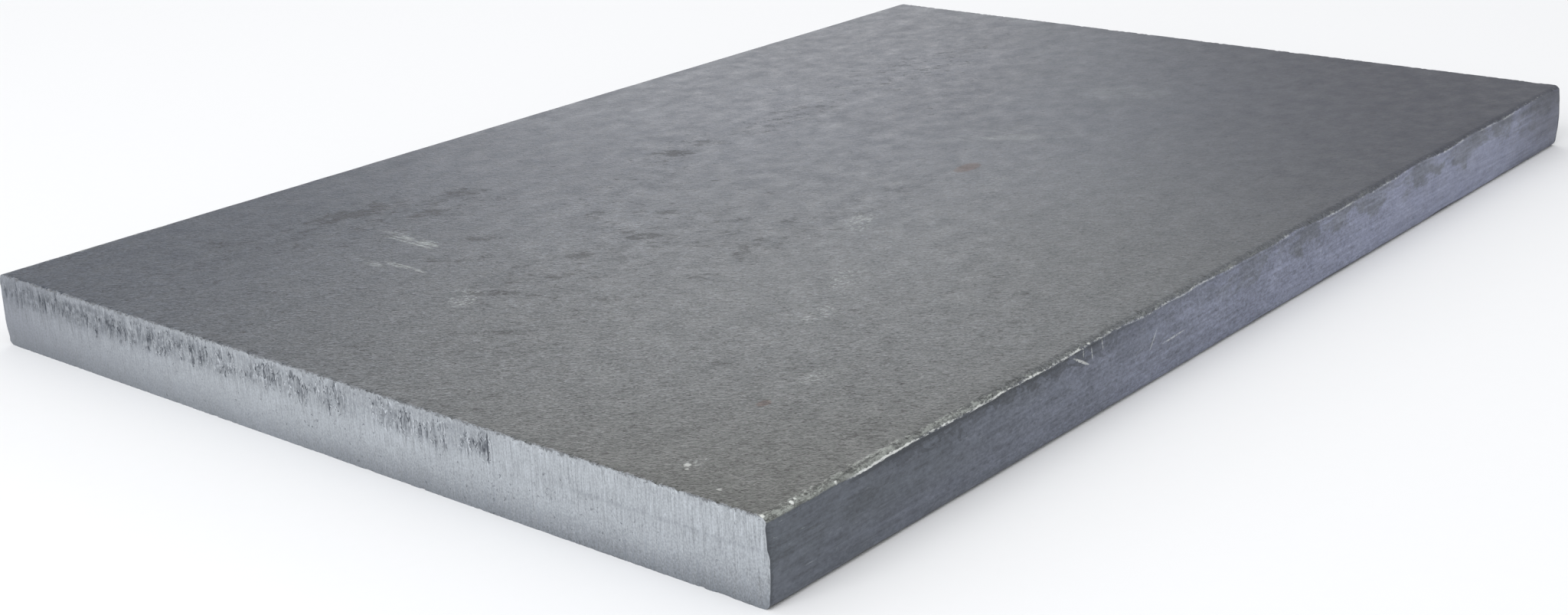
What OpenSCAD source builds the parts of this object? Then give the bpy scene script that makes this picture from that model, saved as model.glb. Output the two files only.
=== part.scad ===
// Hot-rolled steel plate: one solid, cut to length from wide flat stock.
// The length runs along X and the width along Y, and the plate lies on Z = 0.
// The two long sides are rolled edges, a little convex and with rounded corners.
// The two ends are square cuts with sharp corners.

/* [Plate] */
// Length between the two cut ends, in mm
plate_length = 300; // [100:10:3000]
// Width over the two rolled edges, in mm
plate_width = 200; // [60:5:600]
// Thickness between the top and the bottom face, in mm
plate_thickness = 15; // [8:1:40]

/* [Rolled edges] */
// Radius of the four long corners, in mm
corner_radius = 1.5; // [0.5:0.1:3]
// How far the middle of a rolled edge stands out past its corners, in mm
edge_crown = 0.3; // [0.1:0.05:1]

/* [Hidden] */
steel_gray = [0.42, 0.43, 0.45];
// Sides of the corner circles and of the much larger crown circle
corner_sides = 48;
crown_sides = 240;

// Centres of the corner arcs, measured from the middle of the section
corner_y = plate_width / 2 - edge_crown - corner_radius;
corner_z = plate_thickness / 2 - corner_radius;
// The crown arc is centred at mid thickness and touches both corner arcs from
// outside, so the distance between its centre and theirs is this
centre_distance = (edge_crown * edge_crown + corner_z * corner_z) / (2 * edge_crown);
crown_radius = centre_distance + corner_radius;
// Height above mid thickness at which the crown arc runs into a corner arc
crown_reach = corner_z * crown_radius / centre_distance;

// The +Y rolled edge of the section: two corner arcs and the crown between them
module rolled_edge() {
    for (z = [-corner_z, corner_z])
        translate([corner_y, z])
            circle(r = corner_radius, $fn = corner_sides);
    intersection() {
        translate([plate_width / 2 - crown_radius, 0])
            circle(r = crown_radius, $fn = crown_sides);
        translate([0, -crown_reach])
            square([plate_width / 2, 2 * crown_reach]);
    }
}

// Section across the plate, centred on its own middle
module section() {
    rolled_edge();
    mirror([1, 0])
        rolled_edge();
    square([2 * corner_y, plate_thickness], center = true);
}

// The whole plate, lying on its bottom face
module plate() {
    color(steel_gray)
        translate([0, 0, plate_thickness / 2])
            rotate([90, 0, 90])
                linear_extrude(height = plate_length, center = true)
                    section();
}

plate();
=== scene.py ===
"""Looks of a hot-rolled steel plate: mill skin, rolled edges, saw-cut ends, and a plain pale studio.

The plate is one watertight surface. Every length is in metres unless its name ends in _mm, and the
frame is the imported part's own: X along the length, Y across the width, Z up from the floor.
"""

import logging
import math
import operator
from collections.abc import Iterable
from dataclasses import dataclass, field
from enum import Enum
from functools import reduce
from typing import Any

import bpy
import numpy as np
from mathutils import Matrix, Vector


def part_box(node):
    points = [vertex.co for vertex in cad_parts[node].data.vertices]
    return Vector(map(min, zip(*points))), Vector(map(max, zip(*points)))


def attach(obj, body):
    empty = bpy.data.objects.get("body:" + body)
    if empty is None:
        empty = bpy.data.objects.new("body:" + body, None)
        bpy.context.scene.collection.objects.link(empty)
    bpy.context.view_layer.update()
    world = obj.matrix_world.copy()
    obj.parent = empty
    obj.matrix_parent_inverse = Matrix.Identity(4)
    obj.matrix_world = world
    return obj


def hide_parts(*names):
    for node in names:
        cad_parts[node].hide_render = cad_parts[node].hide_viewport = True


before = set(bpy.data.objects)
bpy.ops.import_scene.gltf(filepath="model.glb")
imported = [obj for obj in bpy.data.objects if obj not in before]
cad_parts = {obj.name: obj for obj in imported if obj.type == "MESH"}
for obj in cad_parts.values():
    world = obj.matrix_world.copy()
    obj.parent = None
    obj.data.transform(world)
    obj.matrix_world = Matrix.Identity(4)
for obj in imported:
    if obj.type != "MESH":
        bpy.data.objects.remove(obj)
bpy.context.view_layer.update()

log = logging.getLogger("steel_plate")
MM = 0.001
Value = Any  # a number, a colour, a vector or a Signal
Triple = tuple[float, float, float]
Colour = tuple[float, float, float, float]
OBJECT_PLACE = 3  # the Texture Coordinate node's output for the place on the piece itself
ATTRIBUTE_NUMBER = 2  # the Attribute node's output for a plain number
MIX_UNDER, MIX_OVER = 6, 7  # the Mix node's two colours


# Small helpers


def ramp(value: np.ndarray, start: float, stop: float) -> np.ndarray:
    """A smooth rise from 0 at start to 1 at stop: 3 t squared - 2 t cubed, t held between 0 and 1."""
    t = np.clip((value - start) / (stop - start), 0.0, 1.0)
    return t * t * (3.0 - 2.0 * t)


def ahead(indices: np.ndarray) -> np.ndarray:
    """Each index's next neighbour round a closed loop."""
    return np.roll(indices, -1)


def grid_quads(grid: np.ndarray) -> np.ndarray:
    """The four corner indices of every cell of a grid of indices."""
    corners = [grid[:-1, :-1], grid[:-1, 1:], grid[1:, 1:], grid[1:, :-1]]
    return np.stack(corners, -1).reshape(-1, 4)


def stand(name: str, data: bpy.types.ID) -> bpy.types.Object:
    """Puts a mesh, a lamp or a camera in the scene as an object at the origin."""
    thing = bpy.data.objects.new(name, data)
    bpy.context.scene.collection.objects.link(thing)
    return thing


@dataclass(frozen=True)
class Ground:
    """Smooth random ground over a plane: random heights on a square lattice, blended between them.

    Attributes:
        seed: picks the random heights, so that a ground is the same in each run.
        size: lattice points along each side, after which the ground repeats.
    """

    seed: int
    size: int = 512

    def layer(self, u: np.ndarray, v: np.ndarray) -> np.ndarray:
        """Heights from -1 to 1 where the lattice spacing is 1.

        The four lattice heights round a point are blended by the smooth fractions
        f squared times (3 - 2 f) of its place between them, first along u and then along v.

        Args:
            u: first coordinate of each point.
            v: second coordinate of each point.

        Returns:
            One height for each point.
        """
        heights = np.random.default_rng(self.seed).random((self.size, self.size)) * 2.0 - 1.0
        low_u, low_v = np.floor(u).astype(int), np.floor(v).astype(int)
        blend_u, blend_v = ramp(u - low_u, 0.0, 1.0), ramp(v - low_v, 0.0, 1.0)
        row, next_row = low_v % self.size, (low_v + 1) % self.size
        col, next_col = low_u % self.size, (low_u + 1) % self.size
        lower = heights[row, col] * (1 - blend_u) + heights[row, next_col] * blend_u
        upper = heights[next_row, col] * (1 - blend_u) + heights[next_row, next_col] * blend_u
        return lower * (1 - blend_v) + upper * blend_v

    def hills(self, u: np.ndarray, v: np.ndarray, layers: int = 3) -> np.ndarray:
        """Several layers added up, each of half the size and half the height of the one before.

        Args:
            u: first coordinate, in units of the largest hills.
            v: second coordinate, in the same units.
            layers: how many layers are added.

        Returns:
            One height for each point, from about -1 to 1.
        """
        total = np.zeros_like(u, dtype=float)
        for n in range(layers):
            total += self.layer(u * 2**n + 17.3 * n, v * 2**n + 5.9 * n) / 2**n
        return total / (2.0 - 0.5 ** (layers - 1))


# The shell: loops round the plate, stacked from the middle of the bottom to the middle of the top


class Region(Enum):
    """Which face of the plate a mesh face belongs to."""

    NEAR_SIDE = 0
    FAR_END = 1
    FAR_SIDE = 2
    NEAR_END = 3
    TOP = 4
    BOTTOM = 5


@dataclass
class Shell:
    """The closed surface of the plate before any wear: a section carried round a rectangle.

    A loop is a rectangle of some half length and half width at some height, with the same number of
    points on each of its four runs as every other loop of its kind. The loops climb the rolled edges
    and the cut ends, and then go on inwards over the top and the bottom, where each kind has half
    the points of the one outside it. Plain grids close the two middles.

    Attributes:
        length: over the two cut ends.
        width: over the two rolled edges.
        thickness: from the bottom to the top.
        corner_radius: radius of the four long corners.
        edge_crown: how far the middle of a rolled edge stands out past its corners.
        side_steps: mesh steps along a rolled edge.
        end_steps: mesh steps along a cut end.
        corner_rows: mesh rows over the height of one rounded corner.
        web_rows: mesh rows between the lower and the upper corner.
        crowding: how much closer the steps lie near the ends of a run.
        insets: how far inside the outline each inner loop of the top and bottom lies.
        thinning: each inner loop has one point for this many of the outline's.
        points: every point of the finished surface.
        quads: its faces of four corners, as indices.
        triangles: its faces of three corners, as indices.
        quad_regions: the region of each of the quads.
        triangle_regions: the region of each of the triangles.
        profile_run: how far each point lies along the section, from the bottom up.
    """

    length: float
    width: float
    thickness: float
    corner_radius: float = 1.5 * MM
    edge_crown: float = 0.3 * MM
    side_steps: int = 480
    end_steps: int = 800
    corner_rows: int = 6
    web_rows: int = 16
    crowding: float = 0.3
    insets: tuple[float, ...] = tuple(mm * MM for mm in (0.1, 0.4, 1.0, 2.0, 3.5, 6, 9, 13))
    thinning: tuple[int, ...] = (1, 1, 2, 2, 4, 4, 8, 16)
    points: np.ndarray = field(init=False)
    quads: np.ndarray = field(init=False)
    triangles: np.ndarray = field(init=False)
    quad_regions: np.ndarray = field(init=False)
    triangle_regions: np.ndarray = field(init=False)
    profile_run: np.ndarray = field(init=False)

    def row_heights(self) -> np.ndarray:
        """Height of each row of the rim: r (1 - cos a) up the lower corner, even steps, then mirrored.

        Returns:
            Heights from 0 to the thickness.
        """
        angle = np.linspace(0.0, math.pi / 2, self.corner_rows, endpoint=False)
        corner = self.corner_radius * (1.0 - np.cos(angle))
        web = np.linspace(self.corner_radius, self.thickness - self.corner_radius, self.web_rows + 1)
        return np.concatenate([corner, web, (self.thickness - corner)[::-1]])

    def half_width(self, height: np.ndarray) -> np.ndarray:
        """Half the width of the section at a height.

        Over a corner it is a circle's x for that height, square root of r squared minus z squared, and
        between the corners a parabola of the crown's height stands on it.

        Args:
            height: heights above the bottom.

        Returns:
            Half widths.
        """
        half = self.thickness / 2
        above = np.abs(height - half)
        into_corner = np.clip(above - (half - self.corner_radius), 0.0, self.corner_radius)
        bulge = np.clip(1.0 - (above / (half - self.corner_radius)) ** 2, 0.0, 1.0)
        flat = self.width / 2 - self.edge_crown - self.corner_radius
        return flat + np.sqrt(self.corner_radius**2 - into_corner**2) + self.edge_crown * bulge

    def steps_along(self, count: int) -> np.ndarray:
        """Fractions along one run, closer together near both its ends: u - c sin(2 pi u) / 2 pi.

        Args:
            count: number of steps.

        Returns:
            One fraction for each step's start.
        """
        u = np.arange(count) / count
        return u - self.crowding * np.sin(2 * math.pi * u) / (2 * math.pi)

    def loop(self, half_length: float, half_width: float, height: float, thin: int) -> np.ndarray:
        """Points of one loop, anticlockwise from above, from the corner where X and Y are lowest.

        Each point is its run's first corner plus its fraction of the way to the next corner.

        Args:
            half_length: of the rectangle.
            half_width: of the rectangle.
            height: above the bottom.
            thin: the loop keeps one step in this many.

        Returns:
            An array of points.
        """
        corners = np.array([(-1, -1), (1, -1), (1, 1), (-1, 1)]) * (half_length, half_width)
        side, end = self.steps_along(self.side_steps)[::thin], self.steps_along(self.end_steps)[::thin]
        runs = (side, end, side, end)
        counts = [len(run) for run in runs]
        first = np.repeat(corners, counts, axis=0)
        after = np.repeat(np.roll(corners, -1, axis=0), counts, axis=0)
        flat = first + (after - first) * np.concatenate(runs)[:, None]
        return np.column_stack([flat, np.full(len(flat), height)])

    def strip(self, lower: np.ndarray, upper: np.ndarray) -> tuple[np.ndarray, np.ndarray]:
        """Faces between two neighbouring loops, of equal counts or one with twice the other's.

        Equal loops are joined by quads. Where one has twice as many points, each of the other's steps
        takes three triangles that meet at the extra point in between.

        Args:
            lower: indices of the lower loop's points.
            upper: indices of the upper loop's points.

        Returns:
            The quads and the triangles, as arrays of indices.
        """
        if len(lower) == len(upper):
            return np.column_stack([lower, ahead(lower), ahead(upper), upper]), np.zeros((0, 3), int)
        if len(lower) > len(upper):
            even, odd = lower[::2], lower[1::2]
            parts = [(even, odd, upper), (odd, ahead(upper), upper), (odd, ahead(even), ahead(upper))]
        else:
            even, odd = upper[::2], upper[1::2]
            parts = [(lower, odd, even), (lower, ahead(lower), odd), (ahead(lower), ahead(even), odd)]
        return np.zeros((0, 4), int), np.concatenate([np.column_stack(part) for part in parts])

    def middle(self, rim: np.ndarray, first_new: int, thin: int) -> tuple[np.ndarray, np.ndarray]:
        """A grid that closes the middle of the top or the bottom inside its innermost loop.

        Args:
            rim: indices of the innermost loop's points.
            first_new: index of the first of the grid's own points.
            thin: the innermost loop's thinning.

        Returns:
            The grid's indices, rows along Y, and the fractions (along X, along Y) of its own points.
        """
        across, along = self.end_steps // thin, self.side_steps // thin
        grid = np.zeros((across + 1, along + 1), int)
        closed = np.append(rim, rim[0])
        grid[0, :] = closed[: along + 1]
        grid[:, -1] = closed[along : along + across + 1]
        grid[-1, ::-1] = closed[along + across : 2 * along + across + 1]
        grid[::-1, 0] = closed[2 * along + across :]
        own = (across - 1) * (along - 1)
        grid[1:-1, 1:-1] = first_new + np.arange(own).reshape(across - 1, along - 1)
        x_part = self.steps_along(self.side_steps)[::thin][1:]
        y_part = self.steps_along(self.end_steps)[::thin][1:]
        spread = np.stack(np.meshgrid(x_part, y_part), axis=-1).reshape(-1, 2)
        return grid, spread

    def build(self) -> None:
        """Lays out every loop and grid, and joins them into one closed surface."""
        heights = self.row_heights()
        rim_half = self.half_width(heights)
        flat_half = float(rim_half[-1])
        half, top = self.length / 2, self.thickness
        over = [(half - d, flat_half - d, n) for d, n in zip(self.insets, self.thinning, strict=True)]
        stations = [(a, b, 0.0, thin, Region.BOTTOM) for a, b, thin in over[::-1]]
        stations += [(half, float(b), float(z), 1, None) for b, z in zip(rim_half, heights, strict=True)]
        stations += [(a, b, top, thin, Region.TOP) for a, b, thin in over]
        loops = [self.loop(a, b, z, thin) for a, b, z, thin, _ in stations]
        starts = np.cumsum([0] + [len(points) for points in loops])
        indices = [np.arange(starts[n], starts[n + 1]) for n in range(len(loops))]
        quads, quad_regions, triangles, triangle_regions = [], [], [], []
        run_of_step = np.repeat([0, 1, 2, 3], [self.side_steps, self.end_steps] * 2)
        for n in range(len(loops) - 1):
            new_quads, new_triangles = self.strip(indices[n], indices[n + 1])
            face = stations[n][4] or stations[n + 1][4]
            quads.append(new_quads)
            triangles.append(new_triangles)
            quad_regions.append(run_of_step if face is None else np.full(len(new_quads), face.value))
            triangle_regions.append(np.full(len(new_triangles), face.value if face else 0))
        pieces = list(loops)
        total = int(starts[-1])
        for n, face in ((0, Region.BOTTOM), (len(loops) - 1, Region.TOP)):
            a, b, z, thin, _ = stations[n]
            grid, spread = self.middle(indices[n], total, thin)
            inside = (spread * 2.0 - 1.0) * (a, b)
            pieces.append(np.column_stack([inside, np.full(len(inside), z)]))
            total += len(inside)
            cells = grid_quads(grid)
            quads.append(cells if face is Region.TOP else cells[:, ::-1])
            quad_regions.append(np.full(len(cells), face.value))
        self.points = np.concatenate(pieces)
        self.quads, self.triangles = np.concatenate(quads), np.concatenate(triangles)
        self.quad_regions = np.concatenate(quad_regions)
        self.triangle_regions = np.concatenate(triangle_regions)
        steps = np.hypot(np.diff(rim_half, prepend=rim_half[0]), np.diff(heights, prepend=heights[0]))
        self.profile_run = np.interp(self.points[:, 2], heights, np.cumsum(steps))


# Wear and tool marks, as depths below the shell


@dataclass
class TornMarks:
    """Short upright tears that the blade left in the upper part of a cut end.

    Each mark is a groove: its depth falls off across it as exp(-(distance / width) squared), it
    leans a little, and it fades smoothly towards both its tips. A low lip stands beside it.

    Attributes:
        seed: picks the places.
        reaches: stretches of Y with marks, in mm, each with its number of marks.
        low_mm: lowest height of a mark's middle.
        high_mm: highest height of a mark's middle.
        depth: of the deepest groove.
        reach: how far round a mark it counts as crowded.
        least_tall: half height of the shortest mark.
        more_tall: what the tallest mark's half height has on top of that.
        least_wide: half width of the narrowest mark.
        more_wide: what the widest mark's half width has on top of that.
        lean: how far a mark may lean, as a slope.
        bow: how far a mark winds from side to side.
    """

    seed: int
    reaches: tuple[tuple[float, float, int], ...]
    low_mm: float = 9.8
    high_mm: float = 13.2
    depth: float = 0.12 * MM
    reach: float = 0.8 * MM
    least_tall: float = 0.5 * MM
    more_tall: float = 1.9 * MM
    least_wide: float = 0.13 * MM
    more_wide: float = 0.12 * MM
    lean: float = 0.10
    bow: float = 0.12 * MM

    def grooves(self, y: np.ndarray, z: np.ndarray) -> tuple[np.ndarray, np.ndarray, np.ndarray]:
        """Depth of the marks at each point, how torn the surface is there, and how crowded with tears.

        Args:
            y: place across the plate.
            z: height above the bottom.

        Returns:
            Depths in metres, a share from 0 for clean metal to 1 in a groove, and a share that is 1
            where tears crowd together and falls off round them.
        """
        rng = np.random.default_rng(self.seed)
        counts = [count for _, _, count in self.reaches]
        total = sum(counts)
        start = np.repeat([low for low, _, _ in self.reaches], counts)
        stop = np.repeat([high for _, high, _ in self.reaches], counts)
        middle_y = (start + (stop - start) * rng.random(total)) * MM
        middle_z = (self.low_mm + (self.high_mm - self.low_mm) * rng.random(total)) * MM
        half_tall = self.least_tall + self.more_tall * rng.random(total) ** 2
        wide = self.least_wide + self.more_wide * rng.random(total)
        lean = self.lean * (rng.random(total) - 0.35)
        strength = 0.35 + 0.65 * rng.random(total)
        climb = z[:, None] - middle_z
        bow = self.bow * np.sin(climb / (1.1 * MM) + 6.0 * strength)
        off = y[:, None] - middle_y - lean * climb - bow
        fade = np.clip(1.0 - (climb / half_tall) ** 2, 0.0, 1.0)
        groove = np.exp(-((off / wide) ** 2)) * fade * strength
        lip = np.exp(-(((off - 2.0 * wide) / wide) ** 2)) * fade * strength
        torn = np.clip(groove.sum(1), 0.0, 1.2)
        wide_fade = np.clip(1.0 - (climb / (1.35 * half_tall)) ** 2, 0.0, 1.0)
        crowd = (np.exp(-((off / self.reach) ** 2)) * wide_fade * strength).sum(1)
        depths = self.depth * (torn - 0.3 * lip.max(1))
        return depths, np.clip(torn, 0.0, 1.0), np.clip(crowd, 0.0, 1.0)


@dataclass
class Wear:
    """Everything that makes the plate differ from its ideal shell, as whole-array fields.

    Attributes:
        shell: the ideal surface.
        near_marks: tears in the cut end at the lowest X.
        far_marks: tears in the cut end at the highest X.
        margin: how far inside the ideal box the whole plate stays before wear.
        saw_wave: half the height of the long waves in a cut end.
        saw_tooth: half the height of its fine upright ridges.
        edge_wave: half the height of the long waves in a rolled edge.
        edge_line: half the height of its lengthwise grooves.
        flake: depth of the scalloped hollows by its corners.
        corner_step: how far the front upright corner steps out.
        corner_chip: half the depth of the chips along an upright corner, into the rolled edge.
        corner_bite: the same into the cut end.
        bite: depth of the larger nicks along the arrises of the cut ends.
        ragged: depth of the smaller ones between them.
        under_lap: depth of the hollow below the lap line.
        over_lap: depth of the hollow above it.
        crumb: half the depth of the grit all round it.
        roll_wave: half the height of the long waves in the top and the bottom.
    """

    shell: Shell
    near_marks: TornMarks
    far_marks: TornMarks
    margin: float = 0.02 * MM
    saw_wave: float = 0.035 * MM
    saw_tooth: float = 0.010 * MM
    edge_wave: float = 0.05 * MM
    edge_line: float = 0.035 * MM
    flake: float = 0.11 * MM
    corner_step: float = 0.36 * MM
    corner_chip: float = 0.08 * MM
    corner_bite: float = 0.07 * MM
    bite: float = 0.40 * MM
    ragged: float = 0.17 * MM
    under_lap: float = 0.16 * MM
    over_lap: float = 0.08 * MM
    crumb: float = 0.035 * MM
    roll_wave: float = 0.035 * MM

    def closeness(self, distance: np.ndarray, reach: float) -> np.ndarray:
        """1 on a face and 0 from its reach inwards, with a smooth fall between."""
        return 1.0 - ramp(distance, 0.0, reach)

    def ends(self, place: np.ndarray) -> tuple[np.ndarray, np.ndarray, np.ndarray]:
        """How deep each point of a cut end lies, how torn it is, and how crowded with tears.

        Long low waves and fine upright ridges of the saw are added to the tears.

        Args:
            place: points of the shell.

        Returns:
            Depths in metres along X, and the shares of tearing and of crowding.
        """
        x, y, z = place.T
        depth, torn, crowd = np.zeros(len(x)), np.zeros(len(x)), np.zeros(len(x))
        for marks, at_end, seed in ((self.near_marks, x < 0, 21), (self.far_marks, x > 0, 22)):
            near = at_end & (self.shell.length / 2 - np.abs(x) < 1.5 * MM)
            grooves, torn[near], crowd[near] = marks.grooves(y[near], z[near])
            waves = Ground(seed).hills(y[near] / (9 * MM), z[near] / (30 * MM), 2)
            fine = Ground(seed + 5).layer(y[near] / (0.6 * MM), z[near] / (7 * MM))
            low = self.saw_wave * (1 + waves) + self.saw_tooth * (1 + fine)
            depth[near] = np.maximum(grooves + low, 0.0)
        return depth, torn, crowd

    def sides(self, place: np.ndarray) -> np.ndarray:
        """How deep each point of a rolled edge lies, along Y.

        Long waves along the edge, a shallow lengthwise groove or two, and scalloped hollows just
        under the upper corner, where the skin broke away in overlapping flakes.

        Args:
            place: points of the shell.

        Returns:
            Depths in metres.
        """
        x, y, z = place.T
        depth = np.zeros(len(x))
        height = z / self.shell.thickness
        for at_side, seed in ((y < 0, 31), (y > 0, 32)):
            near = at_side & (self.shell.width / 2 - np.abs(y) < 4 * MM)
            waves = Ground(seed).hills(x[near] / (45 * MM), z[near] / (40 * MM), 2)
            lines = Ground(seed + 1).layer(x[near] / (60 * MM), z[near] / (1.6 * MM))
            scallops = Ground(seed + 2).hills(x[near] / (7 * MM), z[near] / (3.5 * MM), 3)
            upper = ramp(height[near], 0.68, 0.84) * (1 - ramp(height[near], 0.90, 0.97))
            lower = ramp(1 - height[near], 0.68, 0.84) * (1 - ramp(1 - height[near], 0.90, 0.97))
            hollow = ramp(scallops, 0.0, 0.25) * (upper + 0.6 * lower)
            long_waves = self.edge_wave * (1 + waves) + self.edge_line * (1 + lines)
            depth[near] = long_waves + self.flake * hollow
        return depth * (1 - 0.6 * ramp(x, 0.10, 0.15))

    def arris(self, place: np.ndarray) -> tuple[np.ndarray, np.ndarray]:
        """Uneven upright corners between the cut ends and the rolled edges.

        The corner steps out at about half its height, where the cut broke through, and small flakes
        are missing above and below.

        Args:
            place: points of the shell.

        Returns:
            Depths along X and along Y.
        """
        x, y, z = place.T
        to_end, to_side = self.shell.length / 2 - np.abs(x), self.shell.width / 2 - np.abs(y)
        which = 3.0 * np.sign(x) + 7.0 * np.sign(y)
        rough = Ground(41).hills(z / (2.2 * MM) + 31.0, which, 3)
        step = ramp(z, 8.7 * MM, 9.6 * MM) * (1 - ramp(z, 12.5 * MM, 14.5 * MM))
        near = self.closeness(to_end, 3.5 * MM) * self.closeness(to_side, 2.5 * MM)
        broke_through = 0.10 + 0.90 * ((x < 0) & (y < 0))
        across = (self.corner_step * step * broke_through + self.corner_chip * (1 + rough)) * near
        along = self.corner_bite * (1 + rough) * self.closeness(to_end, 0.6 * MM) * near
        return along, across

    def nicks(self, place: np.ndarray) -> tuple[np.ndarray, np.ndarray]:
        """Small nicks along the arrises between the cut ends and the top and bottom.

        Random hills along the arris that rise over a threshold take a bite out of it, which fades
        within less than a millimetre on both faces.

        Args:
            place: points of the shell.

        Returns:
            How deep each point goes along X, and along Z.
        """
        x, y, z = place.T
        to_end = self.shell.length / 2 - np.abs(x)
        to_flat = np.minimum(z, self.shell.thickness - z)
        which = 3.0 * np.sign(x) + 7.0 * np.sign(z - self.shell.thickness / 2)
        bites = ramp(Ground(51).hills(y / (2.0 * MM), which, 3), 0.25, 0.75)
        ragged = ramp(Ground(52).hills(y / (0.7 * MM), which, 2), -0.2, 0.7)
        size = (self.bite * bites + self.ragged * ragged) * np.where(x > 0, 0.4, 1.0)
        close = self.closeness(to_end, 0.6 * MM) * self.closeness(to_flat, 0.7 * MM)
        return 0.5 * size * close, size * close

    def lap(self, place: np.ndarray) -> tuple[np.ndarray, np.ndarray]:
        """The broken lap along each long corner: a raised line with hollows on both its sides.

        The line wanders up and down the rounded corner. The surface falls away from it smoothly, by
        more on its lower side, where flakes of skin came off.

        Args:
            place: points of the shell.

        Returns:
            Depths in metres, and how far each point lies below the line, in metres.
        """
        x, y, z = place.T
        drop = np.minimum(z, self.shell.thickness - z)
        corner = 2.0 * np.sign(y) + 5.0 * np.sign(z - self.shell.thickness / 2)
        wander = Ground(61).hills(x / (14 * MM), corner, 4)
        below = drop - (0.75 + 0.55 * wander) * MM
        open_part = ramp(Ground(62).hills(x / (5 * MM), corner + 9.0, 3), -0.45, 0.25)
        under = ramp(below, 0.0, 0.22 * MM) * (1 - ramp(below, 0.5 * MM, 1.8 * MM))
        over = ramp(-below, 0.0, 0.30 * MM) * (1 - ramp(-below, 0.6 * MM, 1.2 * MM))
        crumbs = Ground(63).hills(x / (1.5 * MM), drop / (0.7 * MM) + 8.0 * corner, 2)
        near = self.closeness(self.shell.width / 2 - np.abs(y), 3.2 * MM)
        depth = open_part * (self.under_lap * under + self.over_lap * over) + self.crumb * (1 + crumbs)
        return near * depth * (1 - 0.7 * ramp(x, 0.11, 0.15)), below

    def flats(self, place: np.ndarray) -> np.ndarray:
        """How far the top sinks and the bottom rises: long gentle waves that the rolls left."""
        x, y, z = place.T
        waves = Ground(71).hills(x / (55 * MM), y / (38 * MM) + 9.0 * (z > 0), 3)
        return self.roll_wave * (1 + waves)

    def apply(self) -> tuple[np.ndarray, dict[str, np.ndarray]]:
        """Moves every point inwards by the depths above.

        Returns:
            The moved points, and the named shares that the finishes read from them.
        """
        place = self.shell.points
        x, y, z = place.T
        length, width, thick = self.shell.length, self.shell.width, self.shell.thickness
        to_end, to_side = length / 2 - np.abs(x), width / 2 - np.abs(y)
        on_end, on_side = self.closeness(to_end, 1.2 * MM), self.closeness(to_side, 2.6 * MM)
        end_depth, torn, crowd = self.ends(place)
        arris_x, arris_y = self.arris(place)
        nick_x, nick_z = self.nicks(place)
        lap, below = self.lap(place)
        inwards_x = (self.margin + end_depth) * on_end + arris_x + nick_x
        inwards_y = (self.margin + self.sides(place)) * on_side + arris_y + 0.7 * lap
        flat = ramp(np.abs(z - thick / 2), thick / 2 - 1.2 * MM, thick / 2)
        waves = self.flats(place) * flat
        sink = (z > thick / 2) * (waves + nick_z + 0.5 * lap)
        lift = (z < thick / 2) * (0.3 * waves * ramp(to_end, 0, 3 * MM) * ramp(to_side, 0, 6 * MM))
        new_x, new_y = x - np.sign(x) * inwards_x, y - np.sign(y) * inwards_y
        moved = np.column_stack([new_x, new_y, z - sink + lift])
        shares = {
            "torn": torn * on_end,
            "torn_crowd": crowd * on_end,
            "side": ramp(thick / 2 - np.abs(z - thick / 2), 0.0, 1.3 * MM),
            "below_lap": below / MM,
        }
        return moved, shares


# Node trees as Python expressions


@dataclass
class Signal:
    """A value or colour on its way through a node tree. Its operators add Math nodes.

    Attributes:
        bench: the tree that it belongs to.
        socket: the output that carries it.
    """

    bench: "Bench"
    socket: bpy.types.NodeSocket

    def math(self, operation: str, *others: Value, first: Value = None) -> "Signal":
        """One Math node on this value and the others, or with another value in front of it."""
        values = (self, *others) if first is None else (first, self)
        return self.bench.node("ShaderNodeMath", {"operation": operation}, dict(enumerate(values)))[0]

    def __add__(self, other: Value) -> "Signal":
        """This plus another."""
        return self.math("ADD", other)

    def __radd__(self, other: Value) -> "Signal":
        """Another plus this."""
        return self.math("ADD", other)

    def __sub__(self, other: Value) -> "Signal":
        """This minus another."""
        return self.math("SUBTRACT", other)

    def __rsub__(self, other: Value) -> "Signal":
        """Another minus this."""
        return self.math("SUBTRACT", first=other)

    def __mul__(self, other: Value) -> "Signal":
        """This times another."""
        return self.math("MULTIPLY", other)

    def __rmul__(self, other: Value) -> "Signal":
        """Another times this."""
        return self.math("MULTIPLY", other)

    def __truediv__(self, other: Value) -> "Signal":
        """This divided by another."""
        return self.math("DIVIDE", other)

    def __abs__(self) -> "Signal":
        """This without its sign."""
        return self.math("ABSOLUTE")

    def rise(self, start: Value, stop: Value) -> "Signal":
        """A smooth step from 0 where this is start to 1 where it is stop."""
        values = {"Value": self, "From Min": start, "From Max": stop, "To Min": 0.0, "To Max": 1.0}
        return self.bench.node("ShaderNodeMapRange", {"interpolation_type": "SMOOTHSTEP"}, values)[0]

    def held(self) -> "Signal":
        """This, kept between 0 and 1."""
        return self.bench.node("ShaderNodeClamp", {}, {"Value": self, "Min": 0.0, "Max": 1.0})[0]

    def higher(self, other: "Signal") -> "Signal":
        """The higher of this and another."""
        return self.math("MAXIMUM", other)


def summed(signals: Iterable[Signal]) -> Signal:
    """Several signals added up."""
    return reduce(operator.add, signals)


def highest(signals: Iterable[Signal]) -> Signal:
    """The highest of several signals."""
    return reduce(Signal.higher, signals)


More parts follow.
